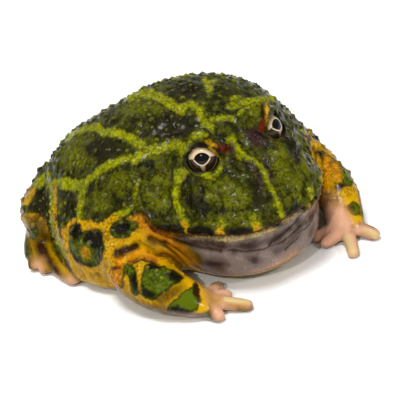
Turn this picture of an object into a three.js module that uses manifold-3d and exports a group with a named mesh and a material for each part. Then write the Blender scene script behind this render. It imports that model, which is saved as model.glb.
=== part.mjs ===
import * as THREE from "three";
import { mergeVertices } from "three/addons/utils/BufferGeometryUtils.js";
import Module from "manifold-3d";

// An Argentine horned frog, life size, sitting with its mouth shut.
// Millimetres, +Z up. The snout points along -Y and the frog's left side is +X.

const wasm = await Module();
wasm.setup();

// Driving dimensions.
const SNOUT_TO_VENT = 100;
const SNOUT_Y = -SNOUT_TO_VENT / 2;
const GAP = 0.3; // left between neighbouring pieces
const EYE = { radius: 4.5, at: [10.6, -32.3, 37.5] }; // the left one, mirrored for the right
const LID_THICKNESS = 1.3;
const HORN_TIP = [10.2, -33.2, 45.4]; // of the left eyelid
const MOUTH = { at: [0, SNOUT_Y, 21], normal: [0, 0.075, 1] };
const NECK = { at: [0, -13, 20], normal: [0, 1, 0.12] };
const BODY_CENTRE = new THREE.Vector3(0, -2, 20); // the whole of head and trunk can be seen from here
const BODY_REACH = 90; // farther from the centre than any of it

// How finely each kind of surface is divided.
const BODY_DETAIL = 10;
const ARM_GRID = { sides: 12, steps: 14 };
const LEG_GRID = { sides: 12, steps: 10 };
const DIGIT_GRID = { sides: 8, steps: 5 };

// The masses that head and trunk are modelled from, each an ellipsoid.
// A mass melts into those before it where the two are within `soft` of each other.
const MIDDLE_MASSES = [
  { name: "belly", at: [0, 5, 14], radii: [41, 40, 15.5], soft: 8 },
  { name: "back", at: [0, 0, 20], radii: [37, 33, 27.1], soft: 8 },
  { name: "rump", at: [0, 33, 16], radii: [24, 16, 14.5], soft: 10 },
  { name: "skull", at: [0, -23, 22], radii: [21.5, 25, 14], soft: 8 },
  { name: "upper lip", at: [0, -24.5, 21], radii: [21.4, 25.5, 4.5], soft: 6 },
  { name: "throat", at: [0, -23, 13], radii: [22.6, 24, 12], soft: 6 },
  { name: "chin", at: [0, -30.5, 8.8], radii: [19.4, 19.4, 8.8], soft: 6 },
];
const SIDE_MASSES = [
  { name: "cheek", at: [13, -16, 21], radii: [11.5, 14, 12], soft: 8 },
  { name: "flank", at: [28.5, 2, 10.5], radii: [17, 24, 11.5], soft: 7 },
  { name: "flank fold", at: [29, -1, 5], radii: [16, 21, 8], soft: 5 },
  { name: "loin", at: [20.5, 17, 19.5], radii: [19, 21, 18], soft: 9 },
  { name: "shoulder", at: [24, -7, 15], radii: [9, 10, 11], soft: 7 },
  { name: "eye mound", at: [9.4, -30.8, 33.4], radii: [7.6, 8.4, 6.6], soft: 5 },
  { name: "muzzle", at: [7, -37, 24], radii: [9, 11, 8], soft: 9 },
];

// The arms differ, because the left one is held closer in. The joints run from the shoulder to the palm,
// and the fingers from the inner one to the outer one.
const LEFT_ARM = {
  joints: [
    { at: [25, -7, 14.5], wide: 8, tall: 8 },
    { at: [32, -15, 12.8], wide: 7.8, tall: 8.6 },
    { at: [32, -26, 9.6], wide: 7, tall: 8.2 },
    { at: [30, -34.5, 7.2], wide: 6.2, tall: 6.8 },
    { at: [26.5, -40.5, 4.4], wide: 5.6, tall: 4.4 },
    { at: [24, -45, 2.3], wide: 5.2, tall: 2.8 },
  ],
  elbow: { at: [32, -24.5, 10], normal: [0.05, -1, -0.2] },
  wrist: { at: [27.8, -38.5, 5], normal: [-0.5, -0.83, -0.25] },
  fingers: [
    { from: [23, -41, 2.6], knuckle: [18.5, -39, 2.1], tip: [15, -37.8, 1.1], thick: 1.8 },
    { from: [22.5, -43, 2.6], knuckle: [19, -43.4, 2.1], tip: [14.7, -43.2, 1.2], thick: 1.9 },
    { from: [23.5, -44.5, 2.6], knuckle: [21, -49.5, 2.4], tip: [17.2, -55.4, 1.2], thick: 1.9 },
    { from: [26, -44, 2.6], knuckle: [28, -48.5, 2.3], tip: [29, -52.8, 1.3], thick: 2.0 },
  ],
};
const RIGHT_ARM = {
  joints: [
    { at: [-26, -7, 14.5], wide: 8, tall: 8 },
    { at: [-34, -16, 12.8], wide: 8, tall: 8.8 },
    { at: [-35, -27, 9.5], wide: 7.8, tall: 8.2 },
    { at: [-33, -36, 7.2], wide: 6.8, tall: 6.8 },
    { at: [-28.5, -42, 4.4], wide: 5.8, tall: 4.4 },
    { at: [-24.5, -46, 2.3], wide: 5.2, tall: 2.8 },
  ],
  elbow: { at: [-35, -25.5, 10], normal: [-0.05, -1, -0.2] },
  wrist: { at: [-30, -40, 5], normal: [0.62, -0.75, -0.2] },
  fingers: [
    { from: [-24, -42, 2.6], knuckle: [-19.5, -39, 2.1], tip: [-16, -37.5, 1.1], thick: 1.8 },
    { from: [-23.5, -43.5, 2.6], knuckle: [-20.5, -44, 2.1], tip: [-17, -44, 1.2], thick: 1.9 },
    { from: [-24, -45, 2.6], knuckle: [-21, -49.5, 2.4], tip: [-16.4, -54.2, 1.2], thick: 1.9 },
    { from: [-26.5, -45, 2.6], knuckle: [-26.5, -49, 2.3], tip: [-25.6, -53, 1.3], thick: 2.0 },
  ],
};

// The left hind leg, folded against the flank. The right one is its mirror image.
const HIND_LEG = {
  thigh: [
    { at: [18, 38, 15], wide: 10, tall: 10 },
    { at: [31, 33, 16], wide: 9.5, tall: 10 },
    { at: [39.5, 22, 14.5], wide: 8, tall: 9 },
  ],
  shank: [
    { at: [40, 20, 12], wide: 7, tall: 9 },
    { at: [40, 31, 12], wide: 7, tall: 9 },
    { at: [32.5, 43, 8], wide: 5, tall: 6 },
  ],
  foot: [
    { at: [34, 43.5, 5.5], wide: 4.4, tall: 4.8 },
    { at: [41, 35, 4.5], wide: 4.8, tall: 4.4 },
    { at: [46, 24, 3.2], wide: 5.6, tall: 3.2 },
    { at: [47, 18, 2.6], wide: 4.6, tall: 2.4 },
  ],
  digging_spur: { from: [41.5, 28, 3], knuckle: [39.6, 24.5, 2.2], tip: [38.5, 21.6, 1.9], thick: 1.8 },
  toes: [
    { from: [45, 22, 2.8], knuckle: [41.5, 17, 2.2], tip: [39.5, 13, 1.7], thick: 1.7 },
    { from: [45.5, 21, 2.8], knuckle: [43.5, 13.5, 2.2], tip: [42, 8, 1.7], thick: 1.8 },
    { from: [46.5, 20, 2.8], knuckle: [46.6, 8, 2.3], tip: [45.5, -2, 1.8], thick: 2.0 },
    { from: [47.5, 21, 2.8], knuckle: [49.3, 16, 2.2], tip: [50, 12.5, 1.7], thick: 1.8 },
    { from: [48, 23, 2.8], knuckle: [50.5, 21, 2.2], tip: [52, 18, 1.7], thick: 1.7 },
  ],
};

const SKIN = { roughness: 0.35, metalness: 0 };
const MATERIALS = {
  back_skin: { ...SKIN, color: 0x4d5c14 },
  throat_skin: { ...SKIN, color: 0x8d8083 },
  limb_skin: { ...SKIN, color: 0xc08a1e },
  toe_skin: { ...SKIN, color: 0xc98a6e },
  eye: { color: 0xd8bf8c, roughness: 0.05, metalness: 0 },
};

// Solids

// A closed geometry as a solid that can be cut and joined.
function solid(geometry) {
  const plain = geometry.clone();
  plain.deleteAttribute("normal");
  plain.deleteAttribute("uv");
  const merged = mergeVertices(plain, 1e-3);
  return new wasm.Manifold(
    new wasm.Mesh({
      numProp: 3,
      vertProperties: merged.getAttribute("position").array,
      triVerts: new Uint32Array(merged.index.array),
    }),
  );
}

function join(...solids) {
  return solids.reduce((made, next) => made.add(next));
}

function largest(made) {
  return made.decompose().sort((a, b) => b.volume() - a.volume())[0];
}

// All that lies ahead of a plane, as a box larger than the frog.
function ahead(at, normal, shift = 0) {
  const side = 400;
  const way = new THREE.Vector3(...normal).normalize();
  const turn = new THREE.Quaternion().setFromUnitVectors(new THREE.Vector3(0, 0, 1), way);
  const centre = new THREE.Vector3(...at).addScaledVector(way, side / 2 + shift);
  const box = new THREE.BoxGeometry(side, side, side).applyQuaternion(turn);
  box.translate(centre.x, centre.y, centre.z);
  return solid(box);
}

// The two sides of a thin cut: first what lies behind its plane, then what lies ahead.
function split(made, { at, normal }) {
  const behind = made.subtract(ahead(at, normal, -GAP / 2));
  const front = made.intersect(ahead(at, normal, GAP / 2));
  return [largest(behind), largest(front)];
}

// Turns a place on the left side into one on the given side, which is 1 for left and -1 for right.
function placer(side) {
  return ([x, y, z]) => [x * side, y, z];
}

// Head and trunk

// The distance from an ellipsoid, close to its surface.
function fromEllipsoid(x, y, z, { at, radii }) {
  const [dx, dy, dz] = [x - at[0], y - at[1], z - at[2]];
  const [a, b, c] = radii;
  const nearness = Math.hypot(dx / a, dy / b, dz / c);
  const slope = Math.hypot(dx / (a * a), dy / (b * b), dz / (c * c));
  return slope < 1e-9 ? -Math.min(a, b, c) : (nearness * (nearness - 1)) / slope;
}

function melt(a, b, soft) {
  const share = Math.max(soft - Math.abs(a - b), 0) / soft;
  return Math.min(a, b) - (share * share * soft) / 4;
}

// Negative inside head and trunk, positive outside.
function bodyField({ x, y, z }) {
  let distance = BODY_REACH;
  const add = (mass, across) => {
    distance = melt(distance, fromEllipsoid(across, y, z, mass), mass.soft);
  };
  MIDDLE_MASSES.forEach((mass) => add(mass, x));
  SIDE_MASSES.forEach((mass) => add(mass, Math.abs(x)));
  return distance;
}

// Every corner of a ball is pushed out from the centre until the field reaches `level`.
function bodySolid(level) {
  const geometry = new THREE.IcosahedronGeometry(1, BODY_DETAIL);
  const position = geometry.getAttribute("position");
  const way = new THREE.Vector3();
  const point = new THREE.Vector3();
  for (let i = 0; i < position.count; i++) {
    way.fromBufferAttribute(position, i).normalize();
    let [inside, outside] = [0, BODY_REACH];
    while (outside - inside > 1e-6) {
      const middle = (inside + outside) / 2;
      point.copy(BODY_CENTRE).addScaledVector(way, middle);
      if (bodyField(point) < level) inside = middle;
      else outside = middle;
    }
    position.setXYZ(i, point.x, point.y, point.z);
  }
  return solid(geometry);
}

const floor = ahead([0, 0, 0], [0, 0, 1]);
const body = bodySolid(0).intersect(floor);
const bodyAndGap = bodySolid(GAP);

// Eyes

function eyeball(side, grow = 0) {
  const ball = new THREE.SphereGeometry(EYE.radius + grow, 16, 10);
  ball.translate(...placer(side)(EYE.at));
  return solid(ball);
}

// The upper eyelid is a hood over the eyeball that rises to the horn.
function hornedEyelid(side) {
  const place = placer(side);
  const [x, y, z] = EYE.at;
  const hood = new THREE.SphereGeometry(EYE.radius + GAP + LID_THICKNESS, 14, 8);
  hood.translate(...place(EYE.at));
  const horn = limb(
    [
      { at: place([x - 1.2, y + 0.6, z + 2.5]), wide: 4.6, tall: 4.2 },
      { at: place([x - 0.9, y + 0.3, z + 5.4]), wide: 3.0, tall: 2.6 },
      { at: place(HORN_TIP), wide: 0.8, tall: 0.8 },
    ],
    { sides: 8, steps: 6, up: [0, 1, 0] },
  );
  const behindEdge = ahead(place([x + 1.1, y - 0.8, z - 0.2]), place([-0.82, 0.55, 0.11]));
  const lid = join(solid(hood), horn).intersect(behindEdge);
  return largest(lid.subtract(eyeball(side, GAP)).subtract(bodyAndGap));
}

// Limbs

// A limb's half width and half height at a share of its length, eased from joint to joint.
function thickness(joints, path, share) {
  const parts = 200;
  const lengths = path.getLengths(parts);
  const last = joints.length - 1;
  const reached = joints.map((_, i) => lengths[Math.round((i / last) * parts)] / lengths[parts]);
  let i = 0;
  while (i < last - 1 && share > reached[i + 1]) i++;
  const t = THREE.MathUtils.smoothstep(share, reached[i], reached[i + 1]);
  return {
    wide: THREE.MathUtils.lerp(joints[i].wide, joints[i + 1].wide, t),
    tall: THREE.MathUtils.lerp(joints[i].tall, joints[i + 1].tall, t),
  };
}

// A ball drawn out along the curve through a limb's joints, with rounded ends.
function limb(joints, { sides, steps, grow = 0, up = [0, 0, 1] }) {
  const places = joints.map(({ at }) => new THREE.Vector3(...at));
  const path = new THREE.CatmullRomCurve3(places, false, "centripetal");
  const length = path.getLength();
  const geometry = new THREE.SphereGeometry(1, sides, steps);
  const position = geometry.getAttribute("position");
  const point = new THREE.Vector3();
  for (let i = 0; i < position.count; i++) {
    point.fromBufferAttribute(position, i);
    const share = THREE.MathUtils.clamp((1 - point.y) / 2, 0, 1);
    const fromAxis = Math.hypot(point.x, point.z);
    const pole = fromAxis < 1e-6;
    const [aside, rise] = pole ? [0, 0] : [point.x / fromAxis, point.z / fromAxis];
    const pastEnd = pole ? -Math.sign(point.y) * grow : 0;
    const along = path.getTangentAt(share);
    const across = new THREE.Vector3(...up).cross(along).normalize();
    const top = new THREE.Vector3().crossVectors(along, across);
    const { wide, tall } = thickness(joints, path, share);
    const fromEnd = Math.min(share, 1 - share) * length;
    const open = 1 - Math.min(fromEnd / Math.min(wide, tall), 1);
    const round = Math.sqrt(1 - open * open);
    point
      .copy(path.getPointAt(share))
      .addScaledVector(across, aside * (wide * round + grow))
      .addScaledVector(top, rise * (tall * round + grow))
      .addScaledVector(along, pastEnd);
    position.setXYZ(i, point.x, point.y, point.z);
  }
  return solid(geometry);
}

function digit({ from, knuckle, tip, thick }, side = 1) {
  const place = placer(side);
  const joints = [
    { at: place(from), wide: thick * 1.25, tall: thick * 1.05 },
    { at: place(knuckle), wide: thick, tall: thick },
    { at: place(tip), wide: thick * 0.96, tall: thick * 0.9 },
  ];
  return limb(joints, DIGIT_GRID);
}

function arm({ joints, fingers, elbow, wrist }) {
  const tube = limb(joints, ARM_GRID);
  const whole = join(tube, ...fingers.map((finger) => digit(finger)))
    .subtract(bodyAndGap)
    .intersect(floor);
  const [upper, rest] = split(largest(whole), elbow);
  const [fore, hand] = split(rest, wrist);
  return { upper, fore, hand };
}

function hindLeg({ thigh, shank, foot, toes, digging_spur: spur }, side) {
  const place = placer(side);
  const section = (joints, grow = 0) =>
    limb(joints.map((joint) => ({ ...joint, at: place(joint.at) })), { ...LEG_GRID, grow });
  const sole = join(section(foot), digit(spur, side), ...toes.map((toe) => digit(toe, side)));
  const clear = (made, ...others) =>
    largest(others.reduce((left, other) => left.subtract(other), made.subtract(bodyAndGap)).intersect(floor));
  return {
    thigh: clear(section(thigh)),
    shank: clear(section(shank), section(thigh, GAP)),
    foot: clear(sole, section(thigh, GAP), section(shank, GAP)),
  };
}

// The named parts

function mesh(name, material, made) {
  const { vertProperties, triVerts } = made.getMesh();
  const indexed = new THREE.BufferGeometry();
  indexed.setAttribute("position", new THREE.BufferAttribute(Float32Array.from(vertProperties), 3));
  indexed.setIndex(new THREE.BufferAttribute(Uint32Array.from(triVerts), 1));
  const geometry = indexed.toNonIndexed();
  geometry.computeVertexNormals();
  const part = new THREE.Mesh(geometry, new THREE.MeshStandardMaterial(material));
  part.name = name;
  return part;
}

function headAndTrunk() {
  const socketed = body.subtract(eyeball(1, GAP)).subtract(eyeball(-1, GAP));
  const [front, trunk] = split(socketed, NECK);
  const [lowerJaw, head] = split(front, MOUTH);
  return [
    mesh("head", MATERIALS.back_skin, head),
    mesh("lower_jaw", MATERIALS.throat_skin, lowerJaw),
    mesh("trunk", MATERIALS.back_skin, trunk),
  ];
}

function eyeAndLegs(name, side, armShape) {
  const { upper, fore, hand } = arm(armShape);
  const { thigh, shank, foot } = hindLeg(HIND_LEG, side);
  return [
    mesh(`${name}_eye`, MATERIALS.eye, eyeball(side)),
    mesh(`${name}_horned_eyelid`, MATERIALS.back_skin, hornedEyelid(side)),
    mesh(`${name}_upper_arm`, MATERIALS.limb_skin, upper),
    mesh(`${name}_forearm`, MATERIALS.limb_skin, fore),
    mesh(`${name}_hand`, MATERIALS.toe_skin, hand),
    mesh(`${name}_thigh`, MATERIALS.limb_skin, thigh),
    mesh(`${name}_shank`, MATERIALS.limb_skin, shank),
    mesh(`${name}_foot`, MATERIALS.toe_skin, foot),
  ];
}

const frog = new THREE.Group();
frog.add(...headAndTrunk(), ...eyeAndLegs("left", 1, LEFT_ARM), ...eyeAndLegs("right", -1, RIGHT_ARM));

// The origin is on the floor, under the middle of the frog's box.
const box = new THREE.Box3().setFromObject(frog);
const middle = box.getCenter(new THREE.Vector3());
frog.position.set(-middle.x, -middle.y, -box.min.z);

export default frog;
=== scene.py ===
from math import cos, pi, radians, sin

import bmesh
import bpy
import numpy as np
from mathutils import Matrix, Vector, geometry, noise
from mathutils.bvhtree import BVHTree
from mathutils.kdtree import KDTree


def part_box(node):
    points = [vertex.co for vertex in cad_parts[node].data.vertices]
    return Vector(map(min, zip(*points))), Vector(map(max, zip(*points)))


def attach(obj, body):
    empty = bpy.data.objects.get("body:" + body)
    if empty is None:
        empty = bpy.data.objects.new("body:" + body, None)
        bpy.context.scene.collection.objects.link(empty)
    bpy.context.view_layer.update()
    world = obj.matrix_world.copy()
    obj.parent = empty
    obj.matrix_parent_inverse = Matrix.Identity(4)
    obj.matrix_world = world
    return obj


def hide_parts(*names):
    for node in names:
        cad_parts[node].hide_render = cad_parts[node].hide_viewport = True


# An Argentine horned frog. Metres, +Z up, snout towards -Y, the frog's left side at +X.
# Pixels are those of the photograph's frame, 400 on a side, from its top left corner.

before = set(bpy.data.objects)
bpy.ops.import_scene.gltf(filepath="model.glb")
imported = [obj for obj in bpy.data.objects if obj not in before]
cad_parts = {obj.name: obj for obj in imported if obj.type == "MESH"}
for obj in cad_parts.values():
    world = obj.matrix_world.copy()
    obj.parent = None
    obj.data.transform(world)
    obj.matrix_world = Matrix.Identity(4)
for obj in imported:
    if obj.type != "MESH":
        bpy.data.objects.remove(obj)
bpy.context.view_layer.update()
MM = 0.001

# Camera

PHOTO_PIXELS = 400
SENSOR_MM = 36
FOCAL_PIXELS = 1029
CAMERA_TURN, CAMERA_RISE, CAMERA_ROLL = radians(-26.3), radians(25.0), radians(-12.7)
CAMERA_DISTANCE = 0.318
AIM = Vector((0, -0.0021, 0.015))
AIM_PIXEL = (201, 188)
CLIP_START = 0.01
PIXEL = CAMERA_DISTANCE / FOCAL_PIXELS  # what one pixel covers on the frog

# Sizes of the frog

EYE_RADIUS = 4.5 * MM
LEFT_EYE = sum(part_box("left_eye"), Vector()) / 2
EYES = {"left": LEFT_EYE, "right": Vector((-LEFT_EYE.x, LEFT_EYE.y, LEFT_EYE.z))}
SKIN_GRAIN = 0.5 * MM  # the spacing of the skin's points
SKIN_TRIANGLES = 190000  # left when it is thinned
FINE_REACH = 4.5 * MM  # round the eyeballs the points lie half as far apart
SEAM = 0.25 * MM  # each solid swells by this, to meet its neighbours
LID_GAP = 0.15 * MM  # between the eyeball and the skin round it
LID_RISE = 0.65 * MM  # the height of the lids' rim
LID_SKIN = 4 * MM  # how far from the eyeballs the skin moves with the lids
FAR_EYE_WIDER = 0.22  # radians that the left eye opens farther inwards than the right one, and less below
WELD = 1e-6  # points closer than this are one

TRUNK = ["trunk"]
LIDS = ["left_horned_eyelid", "right_horned_eyelid"]
HEAD = ["head", "lower_jaw"] + LIDS
ARMS = [f"{side}_{part}" for side in ("left", "right") for part in ("upper_arm", "forearm")]
LEGS = [f"{side}_{part}" for side in ("left", "right") for part in ("thigh", "shank")]
PAWS = [f"{side}_{part}" for side in ("left", "right") for part in ("hand", "foot")]
FLESH = TRUNK + HEAD + ARMS + LEGS + PAWS

# Smoothing: how often, by what share, and how much of it some parts escape

RELAX_TIMES, RELAX_SHARE = 60, 0.5
PAWS_STIFF, LIMBS_STIFF, LIDS_STIFF = 0.84, 0.4, 0.86
PART_FADE, LID_FADE = 1.5 * MM, 1.2 * MM  # the skin counts as a part's up to this far from its solid
FADE_ROUNDS, LID_FADE_ROUNDS = 6, 4

# Lips: height, distance from the line where they meet and half width, in millimetres

LIP_CREASE = (-1.1, 0, 0.5)
UPPER_LIP = (0.75, 1.3, 0.9)
LOWER_LIP = (0.25, 1.2, 0.6)
LIP_BLEND = (-0.3, 0.6)  # from one lip to the other, by the height above the line
LIP_CLEAR = (0.5, 2.5)  # how far from the line the face's relief starts, and where it is full
LIP_RELAX = (2, 0.3)  # how often the lips and folds are smoothed, and by what share

# Relief: heights in millimetres

SWELLING, SWELLING_SIZE = 0.45, 6 * MM
TOP_RISE = 0.7
GRAIN, FACE_GRAIN, GRAIN_SIZE = 0.05, 0.15, 1.7 * MM
LUMP, SNOUT_LUMP = 0.35, 0.45
LUMP_SPACING, LUMP_SIZE = (1.8, 3.6), (1.3, 2.8)
LUMP_CUT = (0.1, 2)  # a lump's cone is rounded off between these heights
WART = 0.62
WART_SPACING, WART_SIZE = (1.5, 3.6), (0.6, 1.35)
SNOUT_BARER = 0.6  # how much less warty the snout is
BELLY_SMOOTH = 0.6
SEED = 5

# Heights above the floor in millimetres, from where something starts to where it is full

FACE_FROM = (16, 21)
SWELLING_FROM = (8, 16)
TOP_FROM = (30, 44)
WARTS_FROM = (6, 14)
SIDES_FROM = (6, 12)

SNOUT_FROM = (-12 * MM, -22 * MM)  # along Y, from where its relief starts to where that is full
EYE_NEAR, EYE_CLEAR = 1 * MM, 2.5 * MM  # from the eyeballs, no relief up to one and all from the other

# Paints, from the lowest to the topmost: the colour, how softly it ends in millimetres, and how raggedly

PAINTS = {
    "leaf": ("#565904", 1.6, 1.3),
    "dark": ("#24210a", 1.3, 1.2),
    "lime": ("#868a05", 0.6, 0.6),
    "plum": ("#3a2a28", 1.0, 0.8),
    "gold": ("#b88d04", 0.5, 0.6),
    "bronze": ("#6c5004", 1.6, 0.8),
    "ring": ("#1b1706", 0.4, 0.8),
    "moss": ("#4a5806", 0.6, 1.2),
    "soot": ("#17130a", 0.7, 1.3),
    "spot": ("#a87c05", 0.7, 0.7),
    "speck": ("#2c1808", 0.8, 0.9),
    "amber": ("#d2860a", 1.6, 0.5),
    "olive": ("#5f5212", 1.8, 0.6),
    "slate": ("#82726e", 1.2, 0.4),
    "mauve": ("#382824", 1.8, 1.1),
    "tan": ("#a07644", 2.0, 0.4),
    "pink": ("#c0927a", 1.6, 0.3),
    "cream": ("#b9a274", 0.8, 0.4),
    "rust": ("#5c1c04", 0.7, 0.4),
    # hood is painted shade: the dark underside of the overhanging horned lids
    "lid shade": ("#241407", 0.5, 0.3),
}
MOSS_INSET = 0.45  # moss fills each ring, this far inside its edge


def pixel_list(text):
    """Pixels from text that has across,down for each, with spaces between."""
    return [tuple(float(number) for number in pixel.split(",")) for pixel in text.split()]


# Lines: half width in pixels, then the pixels they run through

LINES = {
    "lime": {
        "rump to shoulder": (3.4, "56,182 66,185 76,185 84,183 91,178 99,172 108,167 119,162 130,158"),
        "shoulder to eye": (4.4, "136,160 145,154 154,150 164,148 176,146 184,148"),
        "down the flank": (2.8, "83,184 83,192 81,202 79,210 78,218"),
        "over the flank": (3.8, "97,128 104,133 114,134 124,136 134,141 143,146"),
        "edge of the flank": (2.4, "66,140 76,134 86,130 97,128"),
        "over the shoulder": (4.0, "131,99 140,96 149,95 158,98 167,103 174,108 181,113"),
        "low on the shoulder": (3.4, "180,112 184,108 192,106 199,111 201,118 205,127 211,130"),
        "nape": (3.0, "205,83 209,88 210,93"),
        "nape dash": (1.8, "232,101 238,98"),
        "behind the far eye": (3.2, "228,109 240,106 251,103 262,101 272,99"),
        "far brow": (1.2, "239,119 245,112 252,108 262,102"),
        "between the eyes": (2.8, "213,121 222,121 232,122"),
        "middle of the snout": (2.1, "246,158 253,161 260,166 265,175 269,185 274,195 277,204"),
        "end of the snout": (3.0, "277,204 280,211 283,217"),
        "near brow": (0.5, "188,149 190,142 195,137 200,134 205,136"),
        "cheek": (3.2, "177,172 184,172 178,182 177,192 176,203 181,213 186,224"),
        "under the eye": (2.3, "203,175 213,177 220,170"),
        "groove": (2.6, "139,181 136,192 134,204 127,212 115,216"),
        "leg edge": (2.4, "50,184 53,198 52,214 54,230 60,245 68,258 76,270"),
        "hind leg": (3.0, "36,186 40,179 48,174"),
        "lip bars": (2.6, "187,221 189,231"),
        "lip bars ahead": (4.0, "222,224 221,232"),
        "lip bars farther": (3.8, "252,218 257,229"),
        "brow patch": (4.2, "228,144 233,142"),
        "snout patch": (4.0, "237,152 242,157"),
        "far cheek": (3.2, "301,199 304,193"),
        "far flank": (2.8, "298,122 306,132"),
    },
    "gold": {
        "hind leg": (3.0, "27,202 30,196 33,190"),
        "flank edge": (1.4, "54,186 56,200 54,216 57,232 65,246 71,258 79,270"),
        "lip bar": (2.2, "184,222 188,227 190,232"),
        "lip bar ahead": (3.4, "221,229 222,233"),
        "lip bar farther": (2.6, "255,225 257,230"),
        "near lid": (0.8, "209,148 214,151.5 217,155.5 218.5,160"),
        "far lid": (0.9, "264,106 265.5,112 267,118 268,122"),
    },
    "amber": {
        "upper fold": (2.2, "150,233 165,243 177,254 188,266 198,276"),
        "arm fold": (2.0, "128,258 140,252 155,253 170,258 184,270"),
        "armpit": (4.0, "118,262 115,272 116,282"),
        "far fold": (3.0, "327,158 327,172 322,188 317,205"),
        "wrist": (1.2, "320,208 334,210 345,212"),
        "far elbow": (2.4, "335,165 338,178"),
    },
    "speck": {
        "belly dots": (1.2, "91,273 93,278"),
        "belly dot": (1.2, "98,273 100,277"),
        "under the folds": (4.6, "118,256 123,253 130,250 136,246"),
        # The armpit gap is dark skin with painted shadow in the armpit fold
        "armpit gap": (3.0, "133,259 141,257 150,257 156,259"),
        "far elbow": (3.4, "338,188 342,186"),
        "far wrist": (3.0, "343,209 352,208"),
        "far finger": (1.6, "360,224 363,229"),
        "far shoulder": (2.4, "318,151 321,152"),
        "near wrist": (1.8, "196,284 197,292 200,300"),
    },
    "olive": {
        "mouth corner": (2.6, "176,241 190,247 204,251 214,256"),
        "below the mouth corner": (2.2, "186,252 198,258 208,262"),
    },
    "mauve": {
        "arm fold spots": (2.2, "148,240 154,243"),
        "arm fold spots ahead": (1.8, "160,242 165,245"),
        "mouth corner": (1.2, "144,218 149,225 156,231 165,236"),
        "throat": (2.4, "196,243 216,247 238,247 256,245 274,239 290,229"),
        "far throat": (1.6, "276,252 290,242 302,230 310,216"),
    },
    "cream": {
        "under the lip": (0.6, "190,237 212,238 228,239"),
        "under the lip ahead": (1.3, "225,239 236,239 248,237 262,234 276,229"),
        "far lip": (0.8, "283,222 292,217 299,211"),
        "far fingers": (3.6, "347,238 353,252"),
        "near finger": (3.0, "226,299 238,300 247,301"),
        "outer finger": (3.0, "366,231 378,237"),
    },
    "pink": {
        "jaw edge": (2.2, "204,276 222,279 243,278 262,273 280,264 297,252"),
        "near tip": (3.6, "250,302 254,303"),
        "near outer finger": (7.5, "221,312 226,315"),
        "near inner finger": (5.0, "217,290 229,293"),
        "far inner finger": (5.5, "326,236 319,245"),
        "hind toe": (2.6, "37,266 39,271"),
        "hind long toe": (3.2, "70,281 77,285"),
    },
    "rust": {
        "flank": (2.4, "114,268 119,268"),
    },
    "plum": {
        "beside the middle": (2.2, "243,161 252,166 258,176 262,186"),
        "far beside the middle": (2.0, "262,155 267,166 272,180"),
        "brow": (3.4, "229,148 231,153"),
    },
    "dark": {
        "groove": (1.4, "151,167 145,171 140,179 136,187"),
        "leg edge": (2.0, "48,186 48,200 49,214"),
        "flank edge": (2.6, "58,216 60,228 62,240 66,250"),
        "flank fold": (1.8, "66,256 72,265 78,274"),
        "under the lime": (1.4, "62,178 74,180 84,177 96,169 110,162 124,156"),
        "below the lime": (1.6, "60,191 70,191 78,189"),
        "flank top": (1.4, "86,222 96,220 106,221 112,217"),
        "far eye": (1.4, "278,118 281,127 278,137"),
        "snout": (2.0, "262,146 266,154"),
        "nape": (2.6, "226,94 234,93"),
        "brow": (2.0, "180,109 176,110"),
        "shoulder": (1.6, "196,120 200,119"),
    },
}

# Patches: the pixels of their outlines. "smooth" is no paint, but skin without warts

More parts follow.
